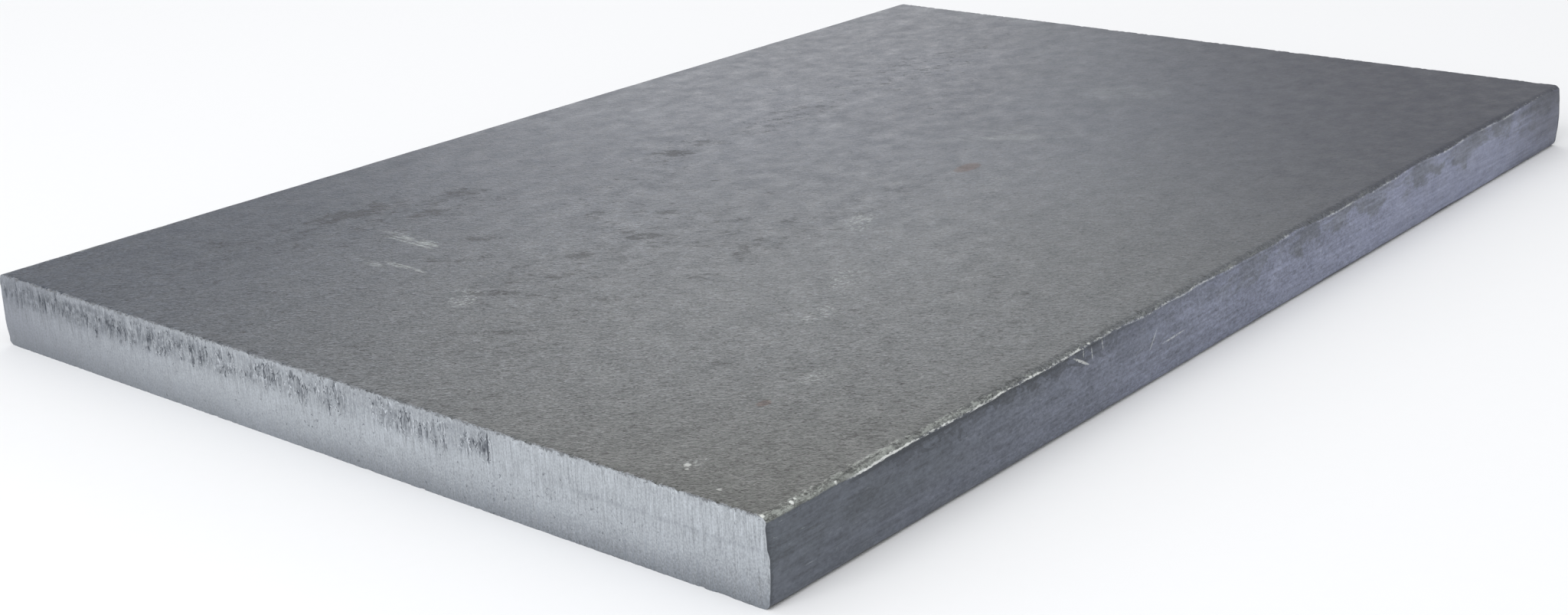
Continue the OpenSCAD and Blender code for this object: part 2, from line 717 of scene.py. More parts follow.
@dataclass
class Bench:
    """Builds one material's node tree.

    Attributes:
        name: the material's name.
        material: the material that it makes.
    """

    name: str
    material: bpy.types.Material = field(init=False)

    def __post_init__(self) -> None:
        """Makes the material, with an empty node tree."""
        self.material = bpy.data.materials.new(self.name)
        self.material.use_nodes = True
        self.material.node_tree.nodes.clear()

    def node(self, kind: str, settings: dict[str, Any], values: dict[Any, Value]) -> list[Signal]:
        """Adds a node, with its settings first and then what its sockets hold.

        Args:
            kind: the node's type.
            settings: its properties by name.
            values: numbers, colours or signals, by socket name or number.

        Returns:
            Its enabled outputs.
        """
        node = self.material.node_tree.nodes.new(kind)
        for key, setting in settings.items():
            setattr(node, key, setting)
        for key, value in values.items():
            socket = node.inputs[key]
            if isinstance(value, Signal):
                self.material.node_tree.links.new(value.socket, socket)
            else:
                socket.default_value = value
        return [Signal(self, output) for output in node.outputs if output.enabled]

    def place_mm(self) -> Signal:
        """The place on the piece, in millimetres."""
        found = self.node("ShaderNodeTexCoord", {}, {})[OBJECT_PLACE]
        return self.scaled(found, (1000.0, 1000.0, 1000.0))

    def scaled(self, vector: Signal, by: Triple) -> Signal:
        """A vector with each of its parts multiplied."""
        return self.node("ShaderNodeVectorMath", {"operation": "MULTIPLY"}, {0: vector, 1: by})[0]

    def moved(self, vector: Signal, by: Value) -> Signal:
        """A vector with another added to it."""
        return self.node("ShaderNodeVectorMath", {"operation": "ADD"}, {0: vector, 1: by})[0]

    def turned(self, vector: Signal, degrees: float) -> Signal:
        """A vector turned about Z."""
        values = {"Vector": vector, "Angle": math.radians(degrees)}
        return self.node("ShaderNodeVectorRotate", {"rotation_type": "Z_AXIS"}, values)[0]

    def parts(self, vector: Signal) -> list[Signal]:
        """The X, Y and Z of a vector."""
        return self.node("ShaderNodeSeparateXYZ", {}, {0: vector})

    def share(self, name: str) -> Signal:
        """A named share that the mesh carries at its points."""
        return self.node("ShaderNodeAttribute", {"attribute_name": name}, {})[ATTRIBUTE_NUMBER]

    def grain(
        self,
        place: Signal,
        size_mm: Triple,
        detail: float = 3.0,
        rough: float = 0.55,
        warp: float = 0.0,
        shift: float = 0.0,
    ) -> Signal:
        """Noise whose patches have about the given size along X, Y and Z.

        Args:
            place: where, in millimetres.
            size_mm: size of the largest patches.
            detail: how many finer layers there are.
            rough: how strong the finer layers are.
            warp: how far the pattern is bent by itself.
            shift: slides the pattern, so that two of them differ.

        Returns:
            A value round 0.5.
        """
        spread = self.scaled(place, tuple(1.0 / size for size in size_mm))
        spread = self.moved(spread, (shift, 2.0 * shift, 3.0 * shift))
        values = {"Vector": spread, "Scale": 1.0, "Detail": detail}
        values |= {"Roughness": rough, "Distortion": warp}
        return self.node("ShaderNodeTexNoise", {"noise_dimensions": "3D"}, values)[0]

    def mix(self, share: Value, first: Value, second: Value) -> Signal:
        """The first colour where share is 0 and the second where it is 1."""
        settings = {"data_type": "RGBA", "blend_type": "MIX", "clamp_factor": True}
        return self.node("ShaderNodeMix", settings, {0: share, MIX_UNDER: first, MIX_OVER: second})[0]

    def layered(self, ground: Value, *layers: tuple[Signal, Colour]) -> Signal:
        """A colour with others laid over it in turn, each by its own share.

        Args:
            ground: the colour at the very bottom.
            layers: a share and a colour for each layer.

        Returns:
            The colour that shows.
        """
        for share, colour in layers:
            ground = self.mix(share, ground, colour)
        return ground

    def shaded(self, colour: Value, light: Signal) -> Signal:
        """A colour made lighter or darker by a value, 1 leaving it as it is."""
        scale = self.node("ShaderNodeCombineXYZ", {}, {0: light, 1: light, 2: light})[0]
        settings = {"data_type": "RGBA", "blend_type": "MULTIPLY"}
        return self.node("ShaderNodeMix", settings, {0: 1.0, MIX_UNDER: colour, MIX_OVER: scale})[0]

    def finish(
        self, colour: Signal, rough: Signal, metal: float, relief_mm: Signal
    ) -> bpy.types.Material:
        """Joins the finish to the output.

        Args:
            colour: base colour.
            rough: roughness.
            metal: how metallic the surface is.
            relief_mm: height of the fine relief, in millimetres.

        Returns:
            The material.
        """
        values = {"Strength": 1.0, "Distance": MM, "Height": relief_mm}
        bump = self.node("ShaderNodeBump", {}, values)[0]
        values = {"Base Color": colour, "Roughness": rough.held(), "Metallic": metal, "Normal": bump}
        shader = self.node("ShaderNodeBsdfPrincipled", {}, values)[0]
        self.node("ShaderNodeOutputMaterial", {}, {"Surface": shader})
        return self.material


def tone(red: int, green: int, blue: int) -> Colour:
    """A colour as a screen shows it, 0 to 255, made linear for the shader."""
    share = np.array([red, green, blue]) / 255.0
    line = np.where(share <= 0.04045, share / 12.92, ((share + 0.055) / 1.055) ** 2.4)
    return (*(float(part) for part in line), 1.0)


# Finishes


@dataclass(frozen=True)
class Patch:
    """An oval of a face where something shows.

    Attributes:
        x_mm: middle along the plate's length.
        y_mm: middle across its width, or up a rolled edge.
        long_mm: half the oval's length.
        wide_mm: half the oval's width.
        turn: degrees from X to its length.
        strength: how strongly it shows.
    """

    x_mm: float
    y_mm: float
    long_mm: float
    wide_mm: float
    turn: float = 0.0
    strength: float = 1.0

    def mask(self, x: Signal, y: Signal) -> Signal:
        """1 in the middle of the oval, falling smoothly to 0 outside it.

        The falling part runs over (u / long) squared plus (v / wide) squared, where u and v are the
        place along and across the oval.

        Args:
            x: place along the length, in millimetres.
            y: place across the width or up the edge, in millimetres.

        Returns:
            The mask, times the strength.
        """
        cos, sin = math.cos(math.radians(self.turn)), math.sin(math.radians(self.turn))
        along = (x - self.x_mm) * (cos / self.long_mm) + (y - self.y_mm) * (sin / self.long_mm)
        across = (y - self.y_mm) * (cos / self.wide_mm) - (x - self.x_mm) * (sin / self.wide_mm)
        return (along * along + across * across).rise(1.6, 0.2) * self.strength


@dataclass(frozen=True)
class Speck:
    """A small chipped place of exposed metal, painted bright as a glint: partly the metal's own pale
    colour, partly a painted highlight.

    Attributes:
        middle_mm: its place on the plate.
        radius_mm: its size.
        strength: how brightly it shows, up to 1.
    """

    middle_mm: Triple
    radius_mm: float
    strength: float = 1.0

    def mask(self, bench: Bench, place: Signal, crumbs: Signal) -> Signal:
        """1 in the middle and 0 outside, over the distance to the middle bent by the crumbs.

        Args:
            bench: the tree that it is built in.
            place: where, in millimetres.
            crumbs: a fine noise round 0.5.

        Returns:
            The mask, times the strength.
        """
        off = bench.moved(place, tuple(-part for part in self.middle_mm))
        far = bench.node("ShaderNodeVectorMath", {"operation": "LENGTH"}, {0: off})[0]
        bent = far + (crumbs - 0.5) * self.radius_mm * 1.6
        return bent.rise(self.radius_mm, self.radius_mm * 0.5) * self.strength


@dataclass(frozen=True)
class MillSkin:
    """The dark skin that hot rolling leaves on the flat faces and the rolled edges.

    Every place is in millimetres from the middle of the plate's bottom.

    Attributes:
        pale: the lighter of the two greys that cloud the flat faces.
        dark: the darker of them.
        blue: a darker, bluer tint towards the far side of the near end, painted shade.
        neutral_painted_sheen: a lighter grey tint towards the near side of the near end, painted sheen.
        olive_and_reflection_tint: a greenish tint by the corner where X and Y are lowest, partly the
            skin's own and partly painted reflection.
        plum_painted_shade: a darker purple tint by the corner where X is highest and Y lowest, and at
            the far end of the rolled edges, painted shade.
        fleck: dark flecks of thicker skin.
        rust: reddish spots.
        chalk: pale scuffs, smears and scratches.
        slate: the rolled edges by the near end.
        lavender_painted_reflection: the rolled edges far off, paler and bluer, a painted reflection.
        ash: flaked hollows in the upper part of the rolled edges.
        haze: pale film on the rolled edges.
        worn: worn grey of the rounded corners, partly wear and partly painted sheen.
        bare_and_glint: exposed metal, partly its own pale colour and partly painted highlight and
            glints.
        cut: rim of the flat faces along the cut ends.
        dark_and_shadow: painted shadow just below the lap line, the darker band under the lap, and the
            darker rims of the rolled edges by the cut ends.
        metallic: how metallic the skin is.
        ripple_turn: degrees that the ripple runs askew to the plate.
        ripple_light: how much the ripple lightens and darkens the flat faces.
        grit_light: how much their grit does.
        wisp_light: how much the wisps among the flecks do.
        fleck_share: how dark the flecks show.
        scuff_share: how pale the scuffs show.
        fleck_groups: where flecks crowd together.
        dark_spots: single flecks.
        scratch_groups: scratches across the plate.
        pale_spots: scuffed places.
        rust_spots: reddish spots.
        smears: faint pale smears.
        painted_sheen_middle: a wide oval where the flat faces are painted a little lighter, a painted
            sheen.
        strokes: bright knocks and scratches on the near rolled edge, by their X and Z.
        specks: chipped places of exposed metal, painted bright as glints.
    """

    pale: Colour = tone(86, 91, 101)
    dark: Colour = tone(77, 82, 92)
    blue: Colour = tone(69, 75, 86)
    neutral_painted_sheen: Colour = tone(98, 101, 103)
    olive_and_reflection_tint: Colour = tone(82, 83, 79)
    plum_painted_shade: Colour = tone(56, 59, 71)
    fleck: Colour = tone(47, 46, 47)
    rust: Colour = tone(76, 54, 47)
    chalk: Colour = tone(168, 174, 172)
    slate: Colour = tone(82, 87, 94)
    lavender_painted_reflection: Colour = tone(126, 131, 152)
    ash: Colour = tone(90, 94, 101)
    haze: Colour = tone(140, 145, 164)
    worn: Colour = tone(164, 169, 164)
    bare_and_glint: Colour = tone(228, 231, 228)
    cut: Colour = tone(150, 155, 162)
    dark_and_shadow: Colour = tone(58, 62, 68)
    metallic: float = 0.30
    ripple_turn: float = 50.0
    ripple_light: float = 1.50
    grit_light: float = 1.10
    wisp_light: float = 1.1
    fleck_share: float = 0.52
    scuff_share: float = 0.46
    fleck_groups: tuple[Patch, ...] = (
        Patch(-84, 62, 40, 15, -20),
        Patch(-124, 71, 24, 6, 0, 0.8),
        Patch(-70, 4, 42, 16, 0, 0.9),
        Patch(-40, 28, 34, 14, 10, 0.7),
        Patch(-10, 45, 16, 8, 0),
        Patch(30, 42, 22, 8),
        Patch(78, 46, 44, 12, 0, 0.8),
        Patch(-40, -17, 48, 8, 0, 0.8),
        Patch(-115, -10, 24, 16, 0, 0.7),
        Patch(-80, -70, 50, 18, 0, 0.5),
        Patch(-118, -91, 8, 4, 0, 1.0),
    )
    dark_spots: tuple[Patch, ...] = (
        Patch(-88, 71, 6.5, 3.2, -20, 0.9),
        Patch(-79, 69, 9, 5.0, -30, 0.6),
        Patch(-75, 56.5, 4.5, 2.4, -40),
        Patch(-59.5, 62, 5, 3.0, -40, 0.9),
        Patch(-94.5, 29, 5.5, 3.0, -60),
        Patch(-80, 33.5, 4.5, 2.2, -50),
        Patch(-87, 24, 2.6, 2.2),
        Patch(-78, 8.5, 3.0, 2.4, -50),
        Patch(-56, 26, 2.2, 1.8),
        Patch(-61.5, 6.5, 3.6, 2.2, -50),
        Patch(-46, 13.5, 3.5, 1.8, -50),
        Patch(-11, 44, 4.8, 3.2, -50),
        Patch(0, 43, 5.0, 3.0, -50, 0.8),
        Patch(-103, 6.5, 6.5, 1.8, -50),
        Patch(-89, 3.5, 3.0, 1.6, -50),
        Patch(-118, -10, 6.5, 1.6, -50, 0.9),
        Patch(-100, -26, 1.6, 1.2),
        Patch(-93, -14, 3.5, 1.4, -50, 0.8),
        Patch(-107, -53, 1.8, 1.4),
        Patch(-56, -16, 7.0, 1.8, 20, 0.8),
        Patch(-74, -21, 4.0, 2.0, -50, 0.6),
    )
    scratch_groups: tuple[Patch, ...] = (
        Patch(-102, 33, 6.0, 0.9, 88, 1.4),
        Patch(-104, 41, 6.0, 0.9, 88, 0.8),
        Patch(-89, 46, 11, 2.2, 86, 1.1),
        Patch(-90, 40, 5.0, 1.2, 86, 1.2),
        Patch(40, -8, 10, 4, -25, 0.4),
    )
    pale_spots: tuple[Patch, ...] = (
        Patch(-108, 9.5, 5.5, 2.8, 40, 1.2),
        Patch(-60, -44, 7, 3.2, 20, 0.8),
        Patch(-78, -52, 5, 2.4, 0, 0.7),
        Patch(-30, -24, 7, 3, 30, 0.6),
        Patch(-103, -70, 4, 1.8, 0, 0.9),
        Patch(-140, -78, 2.6, 1.6, 0, 1.0),
        Patch(-120, -38, 4, 2.2, 0, 0.5),
        Patch(8, -30, 6, 3, 0, 0.4),
    )
    rust_spots: tuple[Patch, ...] = (
        Patch(14.5, -19.5, 5.0, 2.6, 0, 1.0),
        Patch(-116.6, -71.1, 1.8, 1.2, 0, 1.0),
    )
    smears: tuple[Patch, ...] = (
        Patch(90, -14, 11, 7, -50, 0.8),
        Patch(44, -17, 13, 2.8, -50, 0.9),
        Patch(-101, -71, 5, 2.2, -20, 0.8),
    )
    painted_sheen_middle: Patch = Patch(-22, -14, 78, 50)
    strokes: tuple[Patch, ...] = (
        Patch(-66.3, 12.2, 2.6, 0.26, -28, 0.62),
        Patch(-65.4, 13.6, 0.9, 0.15, 82, 0.50),
        Patch(-62.8, 12.6, 1.1, 0.15, 84, 0.50),
        Patch(-59.3, 13.2, 0.9, 0.15, 95, 0.45),
        Patch(-42.5, 9.0, 2.2, 0.18, 52, 0.40),
        Patch(-35.5, 7.3, 4.0, 0.18, 2, 0.45),
    )
    specks: tuple[Speck, ...] = (
        Speck((-149.6, -98.35, 14.7), 0.50),
        Speck((-143.4, -98.8, 14.8), 0.50),
        Speck((-142.3, -98.5, 14.9), 0.34, 0.8),
        Speck((-133.6, -99.3, 14.4), 0.42, 0.9),
        Speck((-142.4, -77.5, 14.95), 0.75, 0.45),
        Speck((-143.6, -78.6, 14.95), 0.45, 0.35),
        Speck((-146.4, -87.5, 14.95), 0.50, 0.35),
    )

    def ground(self, bench: Bench, place: Signal) -> Signal:
        """The tone of the flat faces: two greys in wide clouds, tinted towards four of their places.

        The tints paint the reflection across the top: a lighter grey by the near end, darker and bluer
        at its far side, darker and more purple by the corner where X is highest and Y lowest, and a
        greenish tint by the near corner that is partly the skin's own.

        Args:
            bench: the tree that it is built in.
            place: where, in millimetres.

        Returns:
            The colour.
        """
        x, y, _ = bench.parts(place)
        clouds = bench.grain(place, (80, 60, 60), 4.0, 0.55, 0.3)
        return bench.layered(
            bench.mix(clouds.rise(0.35, 0.65), self.dark, self.pale),
            # Painted reflection tints over the clouds: lighter, darker, bluer and more purple towards
            # the corners.
            ((x * -1.0 - y * 1.2).rise(-70.0, 170.0) * 0.85, self.neutral_painted_sheen),
            ((x * -0.006 + y * 0.009).rise(0.45, 1.9) * 0.85, self.blue),
            ((x * -1.0 - y).rise(140.0, 255.0) * 0.80, self.olive_and_reflection_tint),
            ((x - y * 1.2).rise(60.0, 225.0) * 0.95, self.plum_painted_shade),
        )

    def scuffs(self, bench: Bench, place: Signal, mottle: Signal) -> Signal:
        """Pale dots all over, scuffed spots, and scratches that run across the plate.

        Args:
            bench: the tree that it is built in.
            place: where, in millimetres.
            mottle: the flat faces' soft mottling, round 0.5, which breaks the marks up.

        Returns:
            The share of pale metal.
        """
        x, y, _ = bench.parts(place)
        threads = bench.grain(place, (0.60, 7.0, 2.0), 3.0, 0.6, 0.0, 23.0)
        dots = bench.grain(place, (1.3, 0.9, 1.0), 4.0, 0.7, 0.6, 29.0)
        scratched = summed(group.mask(x, y) for group in self.scratch_groups)
        scratched = scratched * (threads + (mottle - 0.5) * 0.6).rise(0.46, 0.66)
        rubbed = summed(spot.mask(x, y) for spot in self.pale_spots)
        rubbed = rubbed * (dots + (mottle - 0.5) * 0.5).rise(0.49, 0.63)
        return (dots.rise(0.70, 0.80) * 0.25 + scratched + rubbed).held()

    def top(self, bench: Bench, place: Signal) -> tuple[Signal, Signal, Signal]:
        """The flat faces: clouds of tone, a leathery ripple, dark flecks and pale scuffs.

        Args:
            bench: the tree that it is built in.
            place: where, in millimetres.

        Returns:
            The colour, the share of flecks, and the height of the relief in millimetres.
        """
        x, y, _ = bench.parts(place)
        mottle = bench.grain(place, (9, 9, 9), 5.0, 0.65, 0.4, 3.0)
        smudges = bench.grain(place, (10, 9, 7), 3.0, 0.6, 0.5, 19.0)
        turned = bench.turned(place, self.ripple_turn)
        ripple = bench.grain(turned, (1.2, 0.58, 0.6), 2.0, 0.5, 1.2, 7.0)
        grit = bench.grain(turned, (0.45, 0.28, 0.3), 2.0, 0.6, 0.0, 9.0)
        shapes = bench.grain(turned, (3.0, 1.9, 2.0), 5.0, 0.75, 0.5, 13.0)
        wisps = bench.grain(turned, (2.8, 0.7, 1.0), 4.0, 0.7, 0.4, 61.0)

        crowd = highest(group.mask(x, y) for group in self.fleck_groups)
        single = summed(spot.mask(x, y) for spot in self.dark_spots)
        flecks = (shapes + crowd * 0.08 + single * 0.13).rise(0.60, 0.71)
        flecks = (flecks * 0.85 + crowd * smudges.rise(0.5, 0.72) * 0.30).held()
        colour = bench.mix(flecks * self.fleck_share, self.ground(bench, place), self.fleck)
        for spot in self.rust_spots:
            mask = spot.mask(x, y)
            ragged = (mask + (shapes - 0.5) * 1.4).rise(0.50, 0.85)
            colour = bench.mix(mask * ragged * 0.62, colour, self.rust)
        for smear in self.smears:
            colour = bench.mix(smear.mask(x, y) * smudges.rise(0.30, 0.62) * 0.14, colour, self.chalk)
        colour = bench.mix(self.scuffs(bench, place, mottle) * self.scuff_share, colour, self.chalk)

        coarse = 0.72 + (x * -1.0 - y * 0.4).rise(-70.0, 170.0) * 1.15
        fine = ((ripple - 0.5) * self.ripple_light + (grit - 0.5) * self.grit_light) * coarse
        # Painted sheen: a little lighter in a wide oval round the middle, a little darker towards the
        # corner where X and Y are highest.
        painted_sheen = self.painted_sheen_middle.mask(x, y) * 0.05 - (x + y).rise(170.0, 255.0) * 0.10
        light = 1.0 + painted_sheen + (mottle - 0.5) * 0.12 + (wisps - 0.5) * crowd * self.wisp_light + fine
        relief = (ripple * 0.11 + grit * 0.02) * coarse - flecks * 0.015 + mottle * 0.05
        return bench.shaded(colour, light), flecks, relief

    def edge(self, bench: Bench, place: Signal) -> tuple[Signal, Signal]:
        """The rolled edges: slate by the near end, paler and bluer far off, streaked lengthwise.

        The paler, bluer part far off is a painted reflection, and the darker, more purple end beyond it
        painted shade.

        Args:
            bench: the tree that it is built in.
            place: where, in millimetres.

        Returns:
            The colour, and the height of the relief in millimetres.
        """
        x, _, z = bench.parts(place)
        streaks = bench.grain(place, (14, 0.8, 0.55), 5.0, 0.65, 0.0, 31.0)
        grit = bench.grain(place, (0.95, 0.5, 0.55), 3.0, 0.7, 0.4, 35.0)
        drift = bench.grain(place, (60, 5.0, 5.0), 3.0, 0.6, 0.3, 37.0)
        smudge = bench.grain(place, (4.0, 2.0, 2.2), 4.0, 0.65, 0.5, 39.0)
        scallops = bench.grain(place, (13, 5.0, 5.5), 4.0, 0.6, 0.4, 41.0)
        scratches = bench.grain(place, (3.2, 0.5, 0.30), 3.0, 0.65, 0.5, 43.0).rise(0.66, 0.76)
        clouds = bench.grain(place, (16, 8.0, 7.0), 4.0, 0.6, 0.4, 45.0)

        upper = (z + (scallops - 0.5) * 22.0).rise(8.5, 11.5)
        flaked = upper * scallops.rise(0.40, 0.56) * (0.12 + x.rise(-45.0, 10.0) * 0.62)
        under_lap = (z + (smudge - 0.5) * 18.0).rise(11.9, 12.9)
        under_lap = under_lap * x.rise(-128.0, -118.0) * x.rise(-40.0, -64.0)
        film = clouds.rise(0.44, 0.64) * (0.06 + x.rise(-95.0, 20.0) * 0.32)
        film = film + z.rise(11.0, 2.0) * x.rise(20.0, -110.0) * 0.10
        # Painted shade: darker and more purple towards the far end.
        far_end_painted_shade = (x + (drift - 0.5) * 60.0).rise(110.0, 155.0)
        # Slate by the near end to a paler, bluer tone far off: a painted reflection.
        colour = bench.layered(
            bench.mix((x + drift * 70.0).rise(-108.0, 118.0), self.slate, self.lavender_painted_reflection),
            (flaked, self.ash),
            (under_lap * 0.70, self.dark_and_shadow),
            (film, self.haze),
            (far_end_painted_shade * 0.7, self.plum_painted_shade),
            (scratches * 0.38, self.chalk),
        )
        grit_light = 1.1 + x.rise(-130.0, -70.0) * 0.6 - x.rise(0.0, 110.0) * 0.95
        light = 1.0 + (streaks - 0.5) * 1.05 + (grit - 0.5) * grit_light + (smudge - 0.5) * 0.65
        relief = streaks * 0.035 + grit * 0.035 - upper * scallops * 0.04
        return bench.shaded(colour, light), relief

    def nicks(self, bench: Bench, place: Signal, crumbs: Signal) -> Signal:
        """Bright knocks and scratches on the rolled edge, each a short stroke of its own.

        A stroke is a slanting oval: (u / long) squared plus (v / wide) squared, with its rim bent by the
        crumbs.

        Args:
            bench: the tree that it is built in.
            place: where, in millimetres.
            crumbs: a fine noise round 0.5.

        Returns:
            The share of bright metal.
        """
        x, y, z = bench.parts(place)
        bend = (crumbs - 0.5) * 0.35
        bright = summed(stroke.mask(x, z + bend) for stroke in self.strokes)
        return bright * (y * -1.0).rise(99.0, 99.4) * (crumbs + 0.1).rise(0.42, 0.66)

    def lap(self, bench: Bench, place: Signal, crumbs: Signal) -> tuple[Signal, Signal, Signal]:
        """The rounded upper corners: a gritty pale rim, partly worn grey and partly painted sheen, and
        under it a broken bright line, partly exposed metal and partly a painted highlight along the
        lap's edge.

        The line is crisp over its middle stretch, with a painted shadow just below it, and faint beyond.

        Args:
            bench: the tree that it is built in.
            place: where, in millimetres.
            crumbs: a fine noise round 0.5.

        Returns:
            The share of worn grey and painted sheen, of exposed metal and painted highlight, and of the
            painted shadow.
        """
        x, y, z = bench.parts(place)
        below = bench.share("below_lap")
        gaps = bench.grain(place, (7.0, 6.0, 6.0), 4.0, 0.65, 0.2, 53.0)
        patches = bench.grain(place, (2.6, 1.1, 1.1), 4.0, 0.7, 0.5, 55.0)
        bent = below + (crumbs - 0.5) * 0.45 + (patches - 0.5) * 0.5
        reach = abs(y) + (crumbs - 0.5) * 2.4 + (patches - 0.5) * 3.2 - x.rise(-116.0, -84.0)
        by_corner = reach.rise(97.8, 98.7) * z.rise(7.0, 9.0)
        crisp = (x + (gaps - 0.5) * 14.0).rise(-132.0, -126.0)
        crisp = crisp * (x + (gaps - 0.5) * 20.0).rise(-52.0, -66.0)
        beyond = x.rise(-66.0, -52.0) * (0.34 + x.rise(60.0, -60.0) * 0.34)

        # Pale rim over the corner: partly worn grey, partly painted sheen where the rounded corner turns
        # away from the light.
        rim = bent.rise(0.05, -0.25) * by_corner
        gritty = 0.10 + (patches * 0.6 + crumbs * 0.4).rise(0.43, 0.58) * 0.9
        worn = rim * gritty * (x.rise(-125.0, -137.0) + crisp * 0.9 + beyond * 0.6).held()
        # Broken bright line along the lap: partly exposed metal, partly a painted highlight on the lap's
        # edge.
        broken = crisp * (gaps + patches * 0.5 + crumbs * 0.3).rise(0.72, 0.86)
        broken = broken + beyond * (gaps + crumbs * 0.4).rise(0.66, 0.80)
        bare_and_glint = (1.0 - abs(bent).rise(0.08, 0.24)) * by_corner * broken
        bare_and_glint = bare_and_glint + worn * crumbs.rise(0.62, 0.72) * 0.40
        # Painted shadow in a band just below the bright line.
        gap = bent.rise(0.12, 0.28) * bent.rise(1.0, 0.5) * by_corner
        shadow = gap * (crisp * 0.95 + beyond * 0.6)
        return worn.held(), bare_and_glint.held(), shadow

    def make(self) -> bpy.types.Material:
        """Builds the finish.

        Returns:
            The material.
        """
        bench = Bench("mill_skin")
        place = bench.place_mm()
        x, _, _ = bench.parts(place)
        side, below = bench.share("side"), bench.share("below_lap")
        crumbs = bench.grain(place, (0.75, 0.42, 0.40), 3.0, 0.7, 0.3, 47.0)
        flat, flecks, flat_relief = self.top(bench, place)
        edge, edge_relief = self.edge(bench, place)
        worn, bare_and_glint, shadow = self.lap(bench, place, crumbs)
        bare_and_glint = (bare_and_glint + self.nicks(bench, place, crumbs)).held()
        # Specks: painted glints on chipped places.
        bare_and_glint = highest([bare_and_glint, *(speck.mask(bench, place, crumbs) for speck in self.specks)])
        turn = side.rise(0.05, 0.45) * (below + (crumbs - 0.5) * 0.5).rise(-0.30, 0.05)
        torn_rim = (abs(x) + (crumbs - 0.5) * 2.0).rise(149.66, 149.98)
        dark_rim = (abs(x) + (crumbs - 0.5) * 3.0).rise(148.9, 149.7)
        # Laid over the skin: worn grey with painted sheen, painted shadow, the pale rim by the cut ends,
        # a darker rim, and exposed metal with painted highlight and glints.
        colour = bench.layered(
            bench.mix(turn, flat, edge),
            (worn * 0.85, self.worn),
            (shadow * 0.85, self.dark_and_shadow),
            (torn_rim * (1.0 - turn) * 0.7, self.cut),
            (dark_rim * turn * 0.6, self.dark_and_shadow),
            (bare_and_glint * 0.92, self.bare_and_glint),
        )
        tooth = bench.grain(place, (6, 5, 5), 3.0, 0.6, 0.0, 59.0)
        rough = 0.52 + (tooth - 0.5) * 0.3 + flecks * 0.1 - turn * 0.02 - bare_and_glint * 0.15
        relief = flat_relief * (1.0 - turn) + edge_relief * turn
        relief = relief + worn * 0.05 + bare_and_glint * 0.08 - shadow * 0.08
        return bench.finish(colour, rough, self.metallic, relief)


@dataclass(frozen=True)
class BladeMarks:
    """The noises, each round 0.5, that both the tone and the relief of a cut end are made of.

    Attributes:
        lines: fine upright lines.
        bars: wider upright bars.
        grit: fine grain.
        cloud: wide soft clouds.
        scuffs: small ragged spots.
    """

    lines: Signal
    bars: Signal
    grit: Signal
    cloud: Signal
    scuffs: Signal

    @classmethod
    def on(cls, bench: Bench, place: Signal) -> "BladeMarks":
        """Makes them in one tree, at the given place in millimetres."""
        return cls(
            lines=bench.grain(place, (1.0, 0.42, 6.0), 4.0, 0.72),
            bars=bench.grain(place, (1.0, 0.8, 12.0), 4.0, 0.65, 0.0, 3.0),
            grit=bench.grain(place, (0.3, 0.30, 0.40), 3.0, 0.65, 0.0, 7.0),
            cloud=bench.grain(place, (20, 24, 8), 3.0, 0.55, 0.3, 5.0),
            scuffs=bench.grain(place, (1.0, 1.2, 1.0), 4.0, 0.7, 0.8, 15.0),
        )


